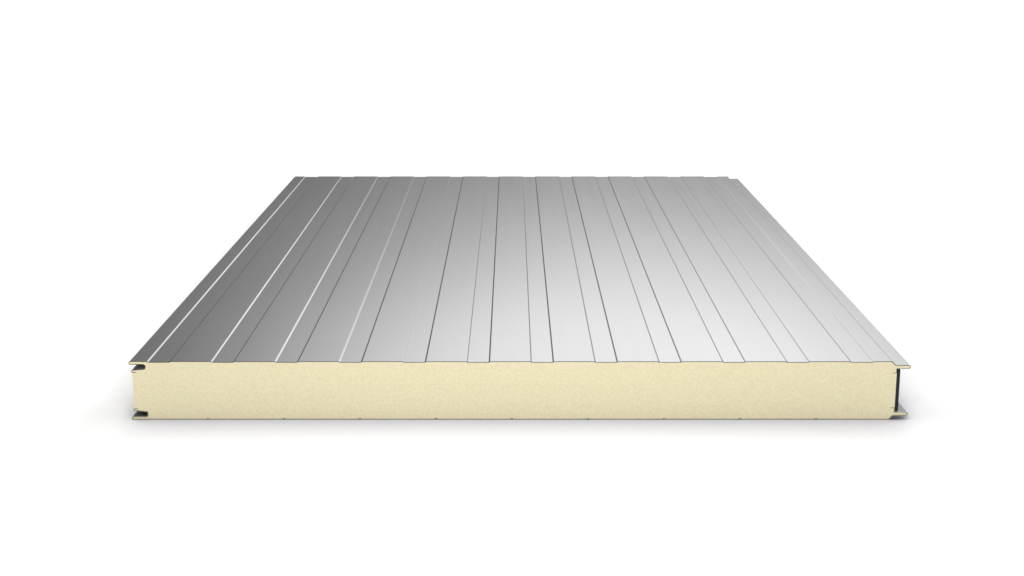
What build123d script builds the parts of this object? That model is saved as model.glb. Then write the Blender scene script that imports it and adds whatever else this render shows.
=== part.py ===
from build123d import *

import os

os.makedirs("parts", exist_ok=True)

# An insulated sandwich panel: two thin coated steel sheets, roll-formed with folded
# edges, bonded to a rigid foam core. The left edge has two grooves and the right edge
# two tongues, so that each panel locks into the next one.
# The panel lies flat with its ribbed outer sheet up and its length along Y. The origin
# is the middle of the underside, where the panel rests.

# Overall sizes
cover_width = 1000.0
panel_length = 1500.0
panel_thickness = 80.0

# Sheets
outer_sheet_thickness = 0.6
inner_sheet_thickness = 0.5

# Flat recesses rolled along the outer sheet
recess_count = 12
recess_width = 28.9
recess_depth = 1.0
recess_slope_width = 1.8
recess_bend_radius = 1.2

# V-grooves rolled along the inner sheet
v_groove_pitch = 100.0
v_groove_count = 9
v_groove_width = 5.0
v_groove_depth = 1.0
v_groove_bend_radius = 0.7

# Joint across the panel: how far the tongues reach past the cover width, and the gaps
# that are left in it once a panel is pushed home
tongue_reach = 20.5
tongue_end_gap = 0.5
core_setback = 4.0
core_gap = 1.5
lip_gap = 0.3

# Folded groove edges, on the left. The flange over each groove is full of foam.
upper_flange_thickness = 4.6
lower_flange_thickness = 4.6
groove_flare = 1.4
groove_end_radius = 2.6
lip_height = 3.5
lip_return = 5.4

# Folded tongue edges, on the right
upper_tongue_thickness = 4.9
upper_tongue_taper = 0.2
lower_tongue_thickness = 4.0
lower_tongue_taper = 1.5
flange_to_tongue_gap = 0.6
tongue_to_groove_gap = 0.4
lower_tongue_to_groove_gap = 1.2
lower_tongue_lift = 0.5
step_inset = 4.4
step_foot_reach = 0.4
step_bend_radius = 1.2
root_bend_radius = 0.5
hook_leg_height = 6.0
hook_return = 4.3
hook_bend_radius = 1.1

# A fold with a full round nose keeps this much flat between its two bends
nose_flat = 0.1

# Soft strip stuck to the core between the two tongues
gasket_thickness = 4.6

# Places across the panel, from its left edge
left_x = -(cover_width + tongue_reach) / 2
right_x = left_x + cover_width
cover_middle_x = left_x + cover_width / 2
tongue_nose_x = right_x + tongue_reach
groove_end_x = left_x + tongue_reach + tongue_end_gap
core_left_x = left_x + core_setback
core_right_x = right_x + core_setback - core_gap
lip_nose_x = core_right_x + lip_gap - cover_width
step_top_x = right_x - step_inset
step_foot_x = right_x + step_foot_reach

# Depths below each sheet's own face
upper_tongue_top = upper_flange_thickness + flange_to_tongue_gap
upper_tongue_bottom = upper_tongue_top + upper_tongue_thickness
upper_groove_depth = upper_tongue_bottom + tongue_to_groove_gap
lower_tongue_top = lower_flange_thickness + flange_to_tongue_gap + lower_tongue_lift
lower_tongue_bottom = lower_tongue_top + lower_tongue_thickness
lower_groove_depth = lower_tongue_bottom + lower_tongue_to_groove_gap
upper_lip_depth = upper_groove_depth + groove_flare + lip_height
lower_lip_depth = lower_groove_depth + groove_flare + lip_height
upper_root_depth = upper_tongue_bottom + upper_tongue_taper
lower_root_depth = lower_tongue_bottom + lower_tongue_taper
upper_hook_depth = upper_root_depth + hook_leg_height
lower_hook_depth = lower_root_depth + hook_leg_height

section_plane = Plane.XZ


def round_nose(height):
    """The bend radius that makes a fold of this height end in a round nose."""
    return (height - nose_flat) / 2


def groove_edge(flange, groove_depth, lip_depth):
    """The left edge's bends as (x, depth, radius), from the lip's buried return to the face."""
    lip_nose = round_nose(lip_height)
    nose = round_nose(flange)
    mouth_depth = lip_depth - lip_height
    return [
        (lip_nose_x + lip_return, lip_depth, 0),
        (lip_nose_x, lip_depth, lip_nose),
        (lip_nose_x, mouth_depth, lip_nose),
        (groove_end_x, groove_depth, groove_end_radius),
        (groove_end_x, flange, groove_end_radius),
        (left_x, flange, nose),
        (left_x, 0, nose),
    ]


def tongue_edge(foot_depth, nose_top, nose_bottom, root_depth, hook_depth):
    """The right edge's bends as (x, depth, radius), from the face to the hook in the core."""
    nose = round_nose(nose_bottom - nose_top)
    return [
        (step_top_x, 0, step_bend_radius),
        (step_foot_x, foot_depth, step_bend_radius),
        (tongue_nose_x, nose_top, nose),
        (tongue_nose_x, nose_bottom, nose),
        (core_right_x, root_depth, root_bend_radius),
        (core_right_x, hook_depth, hook_bend_radius),
        (core_right_x - hook_return, hook_depth, 0),
    ]


def recesses():
    """The bends of the flat recesses, in a row centred on the outer sheet's visible face."""
    pitch = cover_width / recess_count
    row_middle_x = (left_x + step_top_x) / 2
    half_slope = recess_slope_width / 2
    bends = []
    for number in range(recess_count):
        middle_x = row_middle_x + (number - (recess_count - 1) / 2) * pitch
        for side in (-1, 1):
            slope_x = middle_x + side * recess_width / 2
            bends.append((slope_x - half_slope, recess_depth * (side > 0), recess_bend_radius))
            bends.append((slope_x + half_slope, recess_depth * (side < 0), recess_bend_radius))
    return bends


def v_grooves():
    """The bends of the V-grooves, in a row centred on the cover width."""
    half_width = v_groove_width / 2
    bends = []
    for number in range(v_groove_count):
        middle_x = cover_middle_x + (number - (v_groove_count - 1) / 2) * v_groove_pitch
        bends.append((middle_x - half_width, 0, v_groove_bend_radius))
        bends.append((middle_x, v_groove_depth, v_groove_bend_radius))
        bends.append((middle_x + half_width, 0, v_groove_bend_radius))
    return bends


def rolled_line(bends, face_z, inward):
    """A line through the sheet's bends, with their depths taken inward from its face."""
    points = [(x, face_z + inward * depth) for x, depth, _ in bends]
    radii = [radius for _, _, radius in bends[1:-1]]
    return FilletPolyline(*points, radius=radii)


outer_bends = [
    *groove_edge(upper_flange_thickness, upper_groove_depth, upper_lip_depth),
    *recesses(),
    *tongue_edge(
        upper_tongue_top, upper_tongue_top, upper_tongue_bottom, upper_root_depth, upper_hook_depth
    ),
]
inner_bends = [
    *groove_edge(lower_flange_thickness, lower_groove_depth, lower_lip_depth),
    *v_grooves(),
    *tongue_edge(
        lower_tongue_top - lower_tongue_lift,
        lower_tongue_top,
        lower_tongue_bottom,
        lower_root_depth,
        lower_hook_depth,
    ),
]

# The line that each sheet shows to the outside, from its buried lip to its buried hook
with BuildLine() as outer_line:
    rolled_line(outer_bends, panel_thickness, -1)

with BuildLine() as inner_line:
    rolled_line(inner_bends, 0, 1)

# Outer sheet, ribbed and folded from one strip
with BuildPart() as outer_sheet:
    with BuildSketch(section_plane) as outer_section:
        with BuildLine():
            add(outer_line.line)
            offset(amount=outer_sheet_thickness, side=Side.RIGHT)
        make_face()
    extrude(amount=panel_length / 2, both=True)

outer_sheet.part.label = "outer_sheet"
export_step(outer_sheet.part, "parts/outer_sheet.step")

# Inner sheet, grooved and folded from one strip
with BuildPart() as inner_sheet:
    with BuildSketch(section_plane) as inner_section:
        with BuildLine():
            add(inner_line.line)
            offset(amount=inner_sheet_thickness, side=Side.LEFT)
        make_face()
    extrude(amount=panel_length / 2, both=True)

inner_sheet.part.label = "inner_sheet"
export_step(inner_sheet.part, "parts/inner_sheet.step")

# Foam core, which rose between the sheets and fills every fold of them. Its bare sides
# run between the sheets' buried edges, on the left from inside one lip to inside the other.
with BuildPart() as foam_core:
    with BuildSketch(section_plane) as core_section:
        with BuildLine():
            add(outer_line.line)
            Line(outer_line.line @ 0, inner_line.line @ 0)
            add(inner_line.line)
            Line(outer_line.line @ 1, inner_line.line @ 1)
        make_face()
        with Locations((core_left_x, lower_lip_depth - lip_height / 2)):
            Rectangle(
                lip_nose_x + lip_return - core_left_x,
                panel_thickness - upper_lip_depth - lower_lip_depth + lip_height,
                align=(Align.MIN, Align.MIN),
            )
        with Locations((core_right_x, lower_hook_depth)):
            Rectangle(
                hook_return,
                panel_thickness - upper_hook_depth - lower_hook_depth,
                align=(Align.MAX, Align.MIN),
            )
        add(outer_section.sketch_local, mode=Mode.SUBTRACT)
        add(inner_section.sketch_local, mode=Mode.SUBTRACT)
    extrude(amount=panel_length / 2, both=True)

foam_core.part.label = "foam_core"
export_step(foam_core.part, "parts/foam_core.step")

# Side gasket, between the bends at the two tongues' roots
with BuildPart() as side_gasket:
    gasket_bottom_z = lower_root_depth + root_bend_radius
    gasket_top_z = panel_thickness - upper_root_depth - root_bend_radius
    with BuildSketch(section_plane):
        with Locations((core_right_x, gasket_bottom_z)):
            Rectangle(
                gasket_thickness,
                gasket_top_z - gasket_bottom_z,
                align=(Align.MIN, Align.MIN),
            )
    extrude(amount=panel_length / 2, both=True)

side_gasket.part.label = "side_gasket"
export_step(side_gasket.part, "parts/side_gasket.step")
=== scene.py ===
import math
import random

import bpy
from mathutils import Matrix, Vector
from mathutils.geometry import delaunay_2d_cdt


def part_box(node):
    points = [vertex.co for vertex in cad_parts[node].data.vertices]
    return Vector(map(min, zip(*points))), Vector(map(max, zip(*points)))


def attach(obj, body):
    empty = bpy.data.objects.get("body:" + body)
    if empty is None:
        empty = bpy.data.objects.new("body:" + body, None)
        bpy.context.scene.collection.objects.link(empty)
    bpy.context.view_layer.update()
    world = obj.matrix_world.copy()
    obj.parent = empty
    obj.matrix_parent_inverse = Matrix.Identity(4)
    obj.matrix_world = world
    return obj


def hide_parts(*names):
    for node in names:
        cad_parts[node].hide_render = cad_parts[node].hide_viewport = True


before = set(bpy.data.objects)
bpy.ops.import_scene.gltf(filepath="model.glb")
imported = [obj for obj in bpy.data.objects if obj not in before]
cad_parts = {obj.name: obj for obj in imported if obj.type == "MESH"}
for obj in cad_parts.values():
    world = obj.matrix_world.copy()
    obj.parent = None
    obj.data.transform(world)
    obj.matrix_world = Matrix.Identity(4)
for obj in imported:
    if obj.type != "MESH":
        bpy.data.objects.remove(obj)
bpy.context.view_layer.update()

# Outer sheet: one strip of galvanised steel, 0.6 mm thick and coil-coated in satin silver. Rolls
# press twelve flat recesses along it and fold its edges, on the left round a flange, a groove and
# a hemmed lip, on the right down a step and round a tongue to a hook that the foam holds.
outer_low, outer_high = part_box("outer_sheet")
panel_left = outer_low.x
panel_front = outer_low.y
panel_top = outer_high.z
panel_length = outer_high.y - panel_front
tongue_nose = outer_high.x
cover_width = 1.0
cover_right = panel_left + cover_width
tongue_end_gap = 0.0005
groove_end = tongue_nose - cover_width + tongue_end_gap
core_left = panel_left + 0.004
core_right = cover_right + 0.0025
lip_nose = panel_left + 0.0028
step_top = cover_right - 0.0044
flange = 0.0046
groove_flare = 0.0014
outer_steel = 0.0006
outer_groove = 0.0105


def nose_bend(height):
    """The bend radius of a fold this high, whose round nose has 0.1 mm left flat."""
    return (height - 0.0001) / 2


def groove_edge(groove_depth, lip_height=0.0035, lip_return=0.0054, groove_bend=0.0026):
    """The left edge's bends as (x, depth, radius), from the lip's buried return to the face."""
    mouth_depth = groove_depth + groove_flare
    lip_depth = mouth_depth + lip_height
    return [
        (lip_nose + lip_return, lip_depth, 0),
        (lip_nose, lip_depth, nose_bend(lip_height)),
        (lip_nose, mouth_depth, nose_bend(lip_height)),
        (groove_end, groove_depth, groove_bend),
        (groove_end, flange, groove_bend),
        (panel_left, flange, nose_bend(flange)),
        (panel_left, 0, nose_bend(flange)),
    ]


def tongue_edge(foot_depth, nose_top, nose_bottom, root_depth):
    """The right edge's bends as (x, depth, radius), from the face to the hook in the core."""
    step_foot = cover_right + 0.0004
    step_bend = 0.0012
    root_bend = 0.0005
    hook_bend = 0.0011
    hook_depth = root_depth + 0.006
    hook_end = core_right - 0.0043
    return [
        (step_top, 0, step_bend),
        (step_foot, foot_depth, step_bend),
        (tongue_nose, nose_top, nose_bend(nose_bottom - nose_top)),
        (tongue_nose, nose_bottom, nose_bend(nose_bottom - nose_top)),
        (core_right, root_depth, root_bend),
        (core_right, hook_depth, hook_bend),
        (hook_end, hook_depth, 0),
    ]


def recesses(count=12, width=0.0289, depth=0.001, slope=0.0018, bend=0.0012):
    """The bends of the flat recesses, in a row centred on the face that shows."""
    middle = (panel_left + step_top) / 2
    bends = []
    for number in range(count):
        centre = middle + (number - (count - 1) / 2) * cover_width / count
        for side in (-1, 1):
            foot = centre + side * width / 2
            bends.append((foot - slope / 2, depth * (side > 0), bend))
            bends.append((foot + slope / 2, depth * (side < 0), bend))
    return bends


def rolled_line(bends, face, inward, depth=0.0, facet=math.radians(8)):
    """The strip's line at this depth in its steel, as (x, z) points with each bend round."""
    corners = [Vector((x, face + inward * down)) for x, down, _ in bends]
    runs = [(end - start).normalized() for start, end in zip(corners, corners[1:])]
    runs = [runs[0], *runs, runs[-1]]
    points = []
    for corner, (_, _, radius), arrive, leave in zip(corners, bends, runs, runs[1:]):
        turn = math.atan2(arrive.cross(leave), arrive.dot(leave))
        side = 1 if turn > 0 else -1
        start = corner - arrive * radius * math.tan(abs(turn) / 2)
        centre = start + Vector((-arrive.y, arrive.x)) * side * radius
        steps = max(1, math.ceil(abs(turn) / facet)) if radius else 0
        for step in range(steps + 1):
            heading = Matrix.Rotation(turn * step / max(1, steps), 2) @ arrive
            across = Vector((-heading.y, heading.x))
            points.append(centre + across * (inward * depth - side * radius))
    return points


class Pattern:
    """A socket of a node tree. Sums on it add Math nodes, and node() adds any other node."""

    def __init__(self, tree, socket=None):
        self.tree = tree
        self.socket = socket

    def node(self, kind, settings=None, sockets=None, out=0):
        """Adds a node, sets its settings first, then gives its sockets their values or links."""
        made = self.tree.nodes.new(kind)
        for name, setting in (settings or {}).items():
            setattr(made, name, setting)
        for key, values in (sockets or {}).items():
            for value in values if isinstance(values, list) else [values]:
                if isinstance(value, Pattern):
                    self.tree.links.new(value.socket, made.inputs[key])
                else:
                    made.inputs[key].default_value = value
        return Pattern(self.tree, made.outputs[out] if made.outputs else None)

    def maths(self, operation, *values):
        return self.node("ShaderNodeMath", {"operation": operation}, dict(enumerate(values)))

    def __add__(self, other):
        return self.maths("ADD", self, other)

    def __sub__(self, other):
        return self.maths("SUBTRACT", self, other)

    def __rsub__(self, other):
        return self.maths("SUBTRACT", other, self)

    def __mul__(self, other):
        return self.maths("MULTIPLY", self, other)

    def __truediv__(self, other):
        return self.maths("DIVIDE", self, other)

    def __pow__(self, other):
        return self.maths("POWER", self, other)

    __radd__ = __add__
    __rmul__ = __mul__

    def size(self):
        return self.maths("ABSOLUTE", self)

    def or_more(self, other):
        return self.maths("MAXIMUM", self, other)

    def axis(self, number):
        """The x, y or z of a place or direction, as number 0, 1 or 2."""
        return self.node("ShaderNodeSeparateXYZ", None, {0: self}, number)

    def rise(self, low, high):
        """0 below low and 1 above high, with a soft slope between them."""
        return self.node(
            "ShaderNodeMapRange",
            {"interpolation_type": "SMOOTHSTEP"},
            {"Value": self, "From Min": low, "From Max": high},
        )

    def blend(self, low, high):
        """The colour low where this value is 0, and high where it is 1."""
        colours = [c if isinstance(c, Pattern) else (*c, 1) for c in (low, high)]
        return self.node(
            "ShaderNodeMix",
            {"data_type": "RGBA"},
            {"Factor": self, 6: colours[0], 7: colours[1]},
            out=2,
        )

    def noise(self, scale, detail=2.0, stretch=(1, 1, 1)):
        """Even noise about 0 to 1 in the space that this socket gives, finer as scale rises."""
        place = self.node("ShaderNodeMapping", None, {"Vector": self, "Scale": stretch})
        return self.node(
            "ShaderNodeTexNoise", None, {"Vector": place, "Scale": scale, "Detail": detail}
        )

    def relief(self):
        """The normal of a surface that stands out by this height in metres."""
        return self.node(
            "ShaderNodeBump", None, {"Strength": 1.0, "Distance": 1.0, "Height": self}
        )


def finish_of(name):
    """A new material, its shader, and the place of a point on the piece to draw patterns in."""
    material = bpy.data.materials.new(name)
    material.use_nodes = True
    tree = material.node_tree
    place = Pattern(tree).node("ShaderNodeTexCoord", out=3)
    return material, tree.nodes["Principled BSDF"], place


def feed(shader, **sockets):
    """Gives the shader's sockets their patterns or values."""
    for name, value in sockets.items():
        socket = shader.inputs[name.replace("_", " ")]
        if isinstance(value, Pattern):
            value.tree.links.new(value.socket, socket)
        else:
            socket.default_value = value


def coated_steel(name, colour, cut, groove_shade, metallic, roughness, groove_low, groove_high):
    """Coil-coated steel with a faint peel, painted dark and dull inside the groove as painted shade,
    and dull where it is sawn.
    """
    material, shader, place = finish_of(name)
    across, height = place.axis(0), place.axis(2)
    half_length = panel_length / 2
    sawn = place.axis(1).size().rise(half_length - 0.0002, half_length - 0.0001)
    groove = across.rise(panel_left + 0.0002, panel_left + 0.0014)
    groove = groove * (1 - across.rise(groove_end + 0.0008, groove_end + 0.001))
    groove = groove * height.rise(groove_low - 0.0003, groove_low)
    groove = groove * (1 - height.rise(groove_high, groove_high + 0.0003))
    streaks = place.noise(90, 3, (1, 0.02, 1))
    clouds = place.noise(7, 2)
    peel = place.noise(900, 1)
    waves = place.noise(5, 1, (1, 0.4, 1))
    tone = (streaks * 0.35 + clouds * 0.65).blend(
        tuple(c * 0.96 for c in colour), tuple(c * 1.04 for c in colour)
    )
    # Inside the groove the coat is painted dark, dull and unmetallic: painted shade for the fold's
    # shadow.
    tone = groove.blend(tone, groove_shade)
    feed(
        shader,
        Base_Color=sawn.blend(tone, cut),
        Metallic=metallic * (1 - sawn) * (1 - groove),
        Roughness=roughness + streaks * 0.04 + (sawn + groove) * 0.4,
        Normal=(peel * 0.0000012 + waves * 0.00004).relief(),
    )
    return material


def tree_with(name, **inputs):
    """A new tree with these named inputs of these kinds, and the pattern of each of them."""
    tree = bpy.data.node_groups.new(name, "GeometryNodeTree")
    for label, kind in inputs.items():
        tree.interface.new_socket(label, in_out="INPUT", socket_type="NodeSocket" + kind)
    tree.interface.new_socket("Piece", in_out="OUTPUT", socket_type="NodeSocketGeometry")
    given = Pattern(tree).node("NodeGroupInput").socket.node.outputs[:len(inputs)]
    return tree, [Pattern(tree, socket) for socket in given]


def drawn_out(shape, length, mode, **more):
    """The shape moved to the front end, and the mesh that it sweeps from there to the back."""
    start = length.node("ShaderNodeCombineXYZ", None, {1: length * -0.5})
    whole = length.node("ShaderNodeCombineXYZ", None, {1: length})
    front = shape.node("GeometryNodeSetPosition", None, {"Geometry": shape, "Offset": start})
    return front, front.node(
        "GeometryNodeExtrudeMesh", {"mode": mode}, {"Mesh": front, "Offset": whole, **more}
    )


def closed_with(shell, open_side):
    """The shell closed by the side that it was drawn from, turned outwards and welded on."""
    turned = open_side.node("GeometryNodeFlipFaces", None, {"Mesh": open_side})
    closed = shell.node("GeometryNodeJoinGeometry", None, {0: [shell, turned]})
    return closed.node("GeometryNodeMergeByDistance", None, {"Geometry": closed, "Distance": 1e-6})


def put_out(shape, finish):
    """Shades the shape's bends round and its edges sharp, gives it its finish, and puts it out."""
    fold = shape.node("GeometryNodeInputMeshEdgeAngle")
    smooth = fold.node(
        "FunctionNodeCompare", {"operation": "LESS_THAN"}, {0: fold, 1: math.radians(40)}
    )
    shape = shape.node(
        "GeometryNodeSetShadeSmooth", {"domain": "EDGE"}, {"Geometry": shape, "Shade Smooth": smooth}
    )
    shape = shape.node("GeometryNodeRealizeInstances", None, {0: shape})
    shape = shape.node("GeometryNodeSetMaterial", None, {"Geometry": shape, "Material": finish})
    shape.node("NodeGroupOutput", None, {0: shape})


def rolled_sheet():
    """The tree that draws a sheet's line out to its length and gives it its wall of steel."""
    tree, (line, length, steel, finish) = tree_with(
        "rolled_sheet", Line="Geometry", Length="Float", Steel="Float", Finish="Material"
    )
    _, face = drawn_out(line, length, "EDGES")
    wall = face.node(
        "GeometryNodeExtrudeMesh",
        {"mode": "FACES"},
        {"Mesh": face, "Offset Scale": steel, "Individual": False},
    )
    put_out(closed_with(wall, face), finish)
    return tree


def made_by(tree, name, mesh, **sizes):
    """The piece that the tree makes of this mesh, as a plain mesh with the bends shaded round."""
    piece = bpy.data.objects.new(name, mesh)
    bpy.context.scene.collection.objects.link(piece)
    modifier = piece.modifiers.new(name, "NODES")
    modifier.node_group = tree
    for socket in tree.interface.items_tree:
        if socket.name in sizes:
            modifier[socket.identifier] = sizes[socket.name]
    normals = piece.modifiers.new("normals", "WEIGHTED_NORMAL")
    normals.keep_sharp = True
    graph = bpy.context.evaluated_depsgraph_get()
    plain = bpy.data.meshes.new_from_object(piece.evaluated_get(graph))
    piece.modifiers.clear()
    plain.materials.pop(index=0)
    plain.name = name
    piece.data = plain
    return piece


def line_mesh(points):
    mesh = bpy.data.meshes.new("line")
    edges = [(k, k + 1) for k in range(len(points) - 1)]
    mesh.from_pydata([(p.x, 0, p.y) for p in points], edges, [])
    return mesh


outer_bends = [
    *groove_edge(outer_groove),
    *recesses(),
    *tongue_edge(foot_depth=0.0052, nose_top=0.0052, nose_bottom=0.0101, root_depth=0.0103),
]
silver_coat = coated_steel(
    "silver_coat",
    colour=(0.72, 0.72, 0.725),
    cut=(0.03, 0.027, 0.02),
    # painted shade inside the groove
    groove_shade=(0.2, 0.2, 0.19),
    metallic=1.0,
    roughness=0.1,
    groove_low=panel_top - outer_groove - groove_flare,
    groove_high=panel_top - flange,
)
rolling = rolled_sheet()
outer_face = rolled_line(outer_bends, panel_top, -1)
outer_piece = made_by(
    rolling,
    "outer_sheet_rolled",
    line_mesh(outer_face),
    Length=panel_length,
    Steel=outer_steel,
    Finish=silver_coat,
)
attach(outer_piece, "root")
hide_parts("outer_sheet")

# Inner sheet: the second steel strip, 0.5 mm thick with a matt grey coat, on which the panel lies.
# Nine small V-grooves stiffen it, and its edges are folded like the outer sheet's, with a thinner
# tongue that tapers.
inner_steel = 0.0005
inner_groove = 0.0109


def v_grooves(count=9, pitch=0.1, width=0.005, depth=0.001, bend=0.0007):
    """The bends of the V-grooves, in a row centred on the cover width."""
    middle = panel_left + cover_width / 2
    bends = []
    for number in range(count):
        centre = middle + (number - (count - 1) / 2) * pitch
        bends.append((centre - width / 2, 0, bend))
        bends.append((centre, depth, bend))
        bends.append((centre + width / 2, 0, bend))
    return bends


inner_bends = [
    *groove_edge(inner_groove),
    *v_grooves(),
    *tongue_edge(foot_depth=0.0052, nose_top=0.0057, nose_bottom=0.0097, root_depth=0.0112),
]
grey_coat = coated_steel(
    "grey_coat",
    colour=(0.5, 0.5, 0.51),
    cut=(0.4, 0.38, 0.31),
    # painted shade inside the groove
    groove_shade=(0.1, 0.1, 0.09),
    metallic=0.3,
    roughness=0.45,
    groove_low=flange,
    groove_high=inner_groove + groove_flare,
)
inner_face = rolled_line(inner_bends, 0, 1)
inner_piece = made_by(
    rolling,
    "inner_sheet_rolled",
    line_mesh(inner_face[::-1]),
    Length=panel_length,
    Steel=inner_steel,
    Finish=grey_coat,
)
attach(inner_piece, "root")
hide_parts("inner_sheet")

# Foam core: rigid polyurethane that foamed up between the sheets, filled their flanges, lips and
# tongues, and bonded to them by itself. Both ends are sawn, which tears its fine cells open, and
# along the steel a dark line of painted shade is drawn on them.
outer_back = rolled_line(outer_bends, panel_top, -1, outer_steel)
inner_back = rolled_line(inner_bends, 0, 1, inner_steel)


def under_lip(face):
    """The line where the core meets a lip from below, from the core's bare side inwards."""
    turn = next(k for k, point in enumerate(face) if point.x < core_left)
    last, beyond = face[turn - 1], face[turn]
    share = (last.x - core_left) / (last.x - beyond.x)
    return [last.lerp(beyond, share), *reversed(face[:turn])]


def behind_hook(face):
    """The line where the core meets a hook from the middle, out to the core's bare side."""
    turn = next(k for k in range(len(face) - 1, 0, -1) if face[k].x > core_right - 1e-7)
    return list(reversed(face[turn:]))


def bare_side(start, end, spacing=0.0026, inset=0.0003):
    """Points down a side of the core that no steel covers, from just inside its ends."""
    edge = (end - start).normalized() * inset
    steps = round((end - start).length / spacing)
    points = [start.lerp(end, step / steps) for step in range(1, steps)]
    return [start + edge, *points, end - edge]


upper_lip, lower_lip = under_lip(outer_face), under_lip(inner_face)
upper_hook, lower_hook = behind_hook(outer_face), behind_hook(inner_face)
core_outline = [
    *upper_lip,
    *outer_back,
    *upper_hook,
    *bare_side(upper_hook[-1], lower_hook[-1]),
    *reversed(lower_hook),
    *reversed(inner_back),
    *reversed(lower_lip),
    *bare_side(lower_lip[0], upper_lip[0]),
]
upper_rim, lower_rim = 0.00045, 0.0014
# Lines just inside the steel that bound the painted shade line along it.
steel_shade_lines = [
    rolled_line(outer_bends, panel_top, -1, outer_steel + upper_rim),
    rolled_line(inner_bends, 0, 1, inner_steel + lower_rim),
]


def sawn_face(outline, spacing, seed, steel=(), lines=()):
    """A sawn end as a mesh of triangles in the XZ plane, close enough together for relief.

    Its painted shade line is 1 where the outline meets this steel and 0 from the lines inwards.
    """
    chance = random.Random(seed)
    low = Vector((min(p.x for p in outline), min(p.y for p in outline)))
    high = Vector((max(p.x for p in outline), max(p.y for p in outline)))
    points = [p.copy() for p in outline]
    edges = [(k, (k + 1) % len(outline)) for k in range(len(outline))]
    for line in lines:
        edges += [(len(points) + k, len(points) + k + 1) for k in range(len(line) - 1)]
        points += line
    row_height = spacing * 0.87
    for row in range(1, int((high.y - low.y) / row_height)):
        for place in range(int((high.x - low.x) / spacing)):
            x = low.x + (place + 0.5 * (row % 2) + chance.uniform(0.35, 0.65)) * spacing
            z = low.y + (row + chance.uniform(-0.15, 0.15)) * row_height
            points.append(Vector((x, z)))
    found, _, triangles, sources, *_ = delaunay_2d_cdt(points, edges, [], 1, 1e-7)
    mesh = bpy.data.meshes.new("sawn_face")
    mesh.from_pydata([(p.x, 0, p.y) for p in found], [], [t[::-1] for t in triangles])
    bonded = {id(point) for point in steel}
    met = {k for k, point in enumerate(outline) if id(point) in bonded}
    # Marks the points on the steel, where the painted shade line is darkest.
    steel_shade = mesh.attributes.new("steel_shade", "FLOAT", "POINT")
    steel_shade.data.foreach_set("value", [float(not met.isdisjoint(those)) for those in sources])
    return mesh


def sawn_length():
    """The tree that draws a sawn face out to a block and tears both its ends a little."""
    tree, (face, length, tear, grain, seed, finish) = tree_with(
        "sawn_length",
        Face="Geometry",
        Length="Float",
        Tear="Float",
        Grain="Float",
        Seed="Float",
        Finish="Material",
    )
    front, drawn = drawn_out(face, length, "FACES", Individual=False)
    block = closed_with(drawn, front)
    place = block.node("GeometryNodeInputPosition")
    torn = place.node(
        "ShaderNodeTexNoise",
        {"noise_dimensions": "4D"},
        {"Vector": place, "W": seed, "Scale": grain, "Detail": 3.0},
    )
    depth = tear * (torn.rise(0.25, 0.75) + 0.3)
    end = place.axis(1) / (length * 0.5)
    inwards = end.node("ShaderNodeCombineXYZ", None, {1: end * depth * -1.0})
    block = block.node("GeometryNodeSetPosition", None, {"Geometry": block, "Offset": inwards})
    put_out(block, finish)
    return tree


def foam_finish():
    """Pale yellow foam: cells in clouds of two tones, open pores painted darker as painted shade,
    the blade's faint lines, and a painted shade line along the steel.
    """
    material, shader, place = finish_of("pale_foam")
    clouds = place.noise(45, 3)
    mottle = place.noise(365, 2)
    cells = place.node("ShaderNodeTexVoronoi", None, {"Vector": place, "Scale": 1500.0})
    pores = 1 - cells.rise(0.12, 0.3)
    blade = place.noise(60, 2, (0.06, 1, 9))
    half_length = panel_length / 2
    # A dark line painted on the sawn ends along the steel: painted shade where foam meets steel.
    steel_shade = place.node("ShaderNodeAttribute", {"attribute_name": "steel_shade"}, out=2)
    steel_shade = steel_shade * place.axis(1).size().rise(half_length - 0.001, half_length - 0.0005)
    tone = (clouds * 0.08 + mottle * 0.92).rise(0.16, 0.84)
    colour = tone.blend((0.79, 0.71, 0.465), (0.89, 0.815, 0.565))
    # The open pores are painted darker: painted shade in the hollows.
    colour = (pores * 0.25).blend(colour, (0.5, 0.42, 0.22))
    feed(
        shader,
        Base_Color=steel_shade.rise(0, 0.9).blend(colour, (0.12, 0.105, 0.065)),
        Roughness=0.85 - pores * 0.05,
        Normal=(mottle * 0.00012 + cells * 0.00008 + blade * 0.00006).relief(),
        Specular_IOR_Level=0.25,
    )
    return material


sawing = sawn_length()
core_piece = made_by(
    sawing,
    "foam_core_sawn",
    sawn_face(core_outline, 0.0026, 4, outer_back + inner_back, steel_shade_lines),
    Length=panel_length,
    Tear=0.00008,
    Grain=180.0,
    Seed=3.0,
    Finish=foam_finish(),
)
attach(core_piece, "root")
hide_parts("foam_core")

# Side gasket: a soft black strip of closed-cell foam tape, stuck along the core's right side
# between the roots of the two tongues. The next panel's lips press on it and close the joint.
gasket_low, gasket_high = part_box("side_gasket")


def gasket_outline(rounding=0.0012):
    """The strip's section, square where it is stuck on and round where it stands free."""
    low, high = gasket_low.z, gasket_high.z
    free = [(gasket_low.x, high, 0), (gasket_high.x, high, rounding)]
    free += [(gasket_high.x, low, rounding), (gasket_low.x, low, 0)]
    return rolled_line(free, 0, 1)


def gasket_finish():
    """Dull black foam tape with closed cells and faint cloudy hollows."""
    material, shader, place = finish_of("black_tape")
    cells = place.node("ShaderNodeTexVoronoi", None, {"Vector": place, "Scale": 900.0})
    clouds = place.noise(120, 3, (1, 0.3, 1))
    feed(
        shader,
        Base_Color=clouds.blend((0.019, 0.019, 0.019), (0.031, 0.031, 0.03)),
        Roughness=0.75 + cells * 0.1,
        Normal=(cells * 0.0002 + clouds * 0.0001).relief(),
        Specular_IOR_Level=0.25,
    )
    return material


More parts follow.
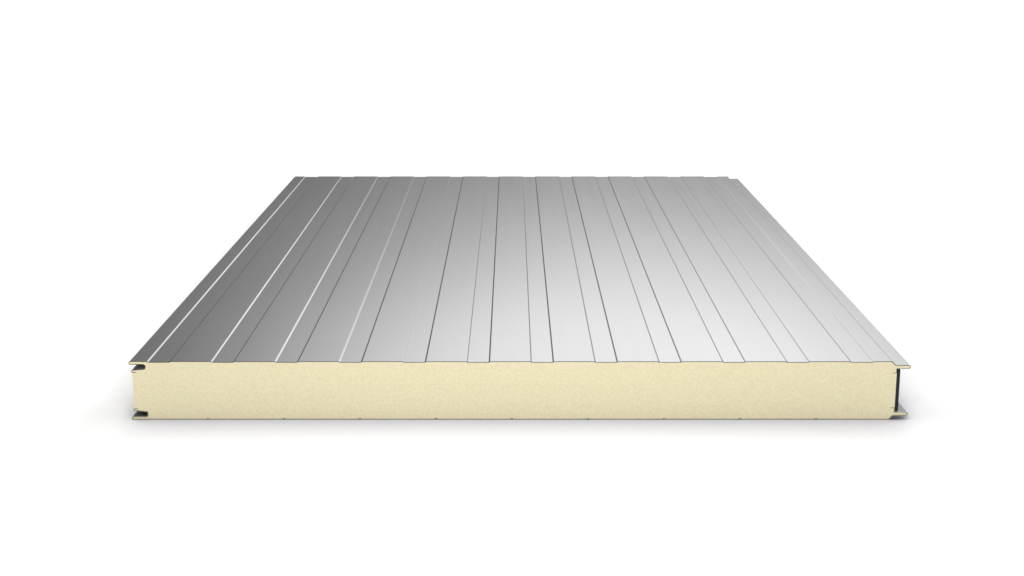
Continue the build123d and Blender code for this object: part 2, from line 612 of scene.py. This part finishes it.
gasket_piece = made_by(
    sawing,
    "side_gasket_tape",
    sawn_face(gasket_outline(), 0.0011, 9),
    Length=panel_length,
    Tear=0.0003,
    Grain=220.0,
    Seed=8.0,
    Finish=gasket_finish(),
)
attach(gasket_piece, "root")
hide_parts("side_gasket")

# Studio: a soft sky that the silver coat mirrors, brightest high up behind the panel and on the
# right, two soft lamps that no gloss shows, in front of the sawn end and all over the roof, a
# white floor that keeps the shadow and has more shadow and light painted on, and a camera that looks
# down on the sawn end.
scene = bpy.context.scene
scene.view_settings.view_transform = "Standard"


def sky_level(toward):
    """How bright the sky is in this direction, from 0, black, to 1, white.

    In the camera's view the top's flats mirror it where up is 0.16 to 0.28, the recesses'
    slopes also lower down, and in the corners there it is dimmer.
    """
    east, north, up = (toward.axis(k) for k in range(3))
    aside = east / ((east * east + north * north) ** 0.5 + 0.001)
    front = 0.52 - 0.06 * up.rise(0.3, 0.75)
    window = (aside + 0.774 * up).rise(-0.073, 0.249)
    window = window - 1.234 * (aside - 1.301 * up).rise(-0.224, 0.121)
    window = window + (1 - window) * up.rise(0.35, 0.75)
    low = (0.066 + 0.304 * aside.rise(-0.2, 0.392)) * (1 - up.rise(0.282, 0.312))
    high = 0.418 * (up.rise(0.142, 0.226) + up.rise(0.2, 0.285)) * window
    corners = 1 - up.rise(0.15, 0.185)
    corners = corners * (aside.rise(0.05, 0.16) + 1 - aside.rise(-0.14, -0.04))
    back = (0.143 + low + high) * (1 - 0.17 * corners)
    far_left = (1 - aside.rise(-0.7, -0.1)) * (1 - up.rise(0.3, 0.7)) * north.rise(-0.5, 0.0)
    behind = (north + up * up * 0.5).rise(-0.25, 0.3)
    return (front * (1 - behind) + back * behind) * (1 - 0.45 * far_left)


world = bpy.data.worlds.new("studio")
scene.world = world
world.use_nodes = True
world.node_tree.nodes.clear()
toward = Pattern(world.node_tree).node("ShaderNodeTexCoord")
level = sky_level(toward)
sky = toward.node("ShaderNodeBackground", None, {"Color": (1, 1, 1, 1), "Strength": level})
sky.node("ShaderNodeOutputWorld", None, {"Surface": sky})


def hang(lamp, place, tilt):
    """Hangs a lamp here, tilted up from straight down by these degrees, where no gloss shows it."""
    hung = bpy.data.objects.new(lamp.name, lamp)
    hung.location = place
    hung.rotation_euler = (math.radians(tilt), 0, 0)
    hung.visible_glossy = False
    scene.collection.objects.link(hung)


front_lamp = bpy.data.lights.new("front_lamp", "AREA")
front_lamp.energy = 5.8
front_lamp.size = 0.5
hang(front_lamp, (-0.01, panel_front - 1.0, 0.85), 52)

roof_light = bpy.data.lights.new("roof_light", "SUN")
roof_light.energy = 0.66
roof_light.angle = math.radians(100)
hang(roof_light, (0, 0, 0), -28)


def floor_finish():
    """White paint with a painted shadow close to the panel and under it, and a painted glow that
    shows to the camera as a white page.

    Distances are from the panel's middle. Its sides are at 0.51 m and its sawn ends at 0.75 m.
    """
    paint = bpy.data.materials.new("floor_paint")
    paint.use_nodes = True
    paint.node_tree.nodes.clear()
    path = Pattern(paint.node_tree).node("ShaderNodeLightPath")
    rays = path.socket.node.outputs
    straight, mirrored, through = (
        Pattern(path.tree, rays[name])
        for name in ("Is Camera Ray", "Is Glossy Ray", "Is Transmission Ray")
    )
    shown = (straight + mirrored + through).rise(0, 1)
    spot = path.node("ShaderNodeTexCoord", out=3)
    east, north = spot.axis(0), spot.axis(1)
    across, along = east.size(), north.size()

    # Painted shadow: the floor's colour darkens with the panel's occlusion, less so beside it.
    air = spot.node("ShaderNodeAmbientOcclusion", {"samples": 6}, {"Distance": 0.11}, out=1) ** 1.2
    beside = across.rise(0.495, 0.54)
    air = air + (1 - air) * beside * (0.6 + 0.2 * east.rise(-0.1, 0.5))
    # Painted shadow: under the panel and the lower tongue the floor is painted nearly black.
    under = east.rise(-0.511, -0.508) * (1 - east.rise(0.488, 0.522))
    under = under * (1 - along.rise(0.7492, 0.7502))
    colour = under.blend(air.blend((0.35, 0.36, 0.5), (0.95, 0.95, 0.95)), (0.03, 0.03, 0.03))
    white = spot.node("ShaderNodeBsdfDiffuse", None, {"Color": colour})

    # Painted light: a glow that lifts the shadow's tails beside the panel and brings the far floor
    # up to white.
    away = across.rise(0.555, 0.65).or_more(along.rise(0.85, 1.0))
    fade = across.rise(0.515, 0.575)
    right = east.rise(0.48, 0.52)
    front_corner = 1 - north.rise(-0.73, -0.61)
    tails = beside * (0.1 - 0.04 * fade - 0.08 * front_corner)
    tails = tails + right * (0.095 - 0.03 * fade - 0.02 * front_corner)
    shine = shown * (0.05 + 0.12 * away + tails)
    glow = spot.node("ShaderNodeEmission", None, {"Color": (1, 1, 1, 1), "Strength": shine})
    surface = spot.node("ShaderNodeAddShader", None, {0: white, 1: glow})
    surface.node("ShaderNodeOutputMaterial", None, {"Surface": surface})
    return paint


reach = 400.0
floor_mesh = bpy.data.meshes.new("floor")
floor_corners = [(-reach, -reach, 0), (reach, -reach, 0), (reach, reach, 0), (-reach, reach, 0)]
floor_mesh.from_pydata(floor_corners, [], [(0, 1, 2, 3)])
floor_mesh.materials.append(floor_finish())
floor = bpy.data.objects.new("floor", floor_mesh)
scene.collection.objects.link(floor)

lens = bpy.data.cameras.new("camera")
lens.lens = 51.54
lens.sensor_width = 36.0
eye_distance, eye_height, look_down = 1.8348, 0.5414, 13.575
camera = bpy.data.objects.new("camera", lens)
camera.location = (
    panel_left + cover_width / 2,
    panel_front - eye_distance,
    panel_top + eye_height,
)
camera.rotation_euler = (math.radians(90 - look_down), 0, 0)
scene.collection.objects.link(camera)
scene.camera = camera
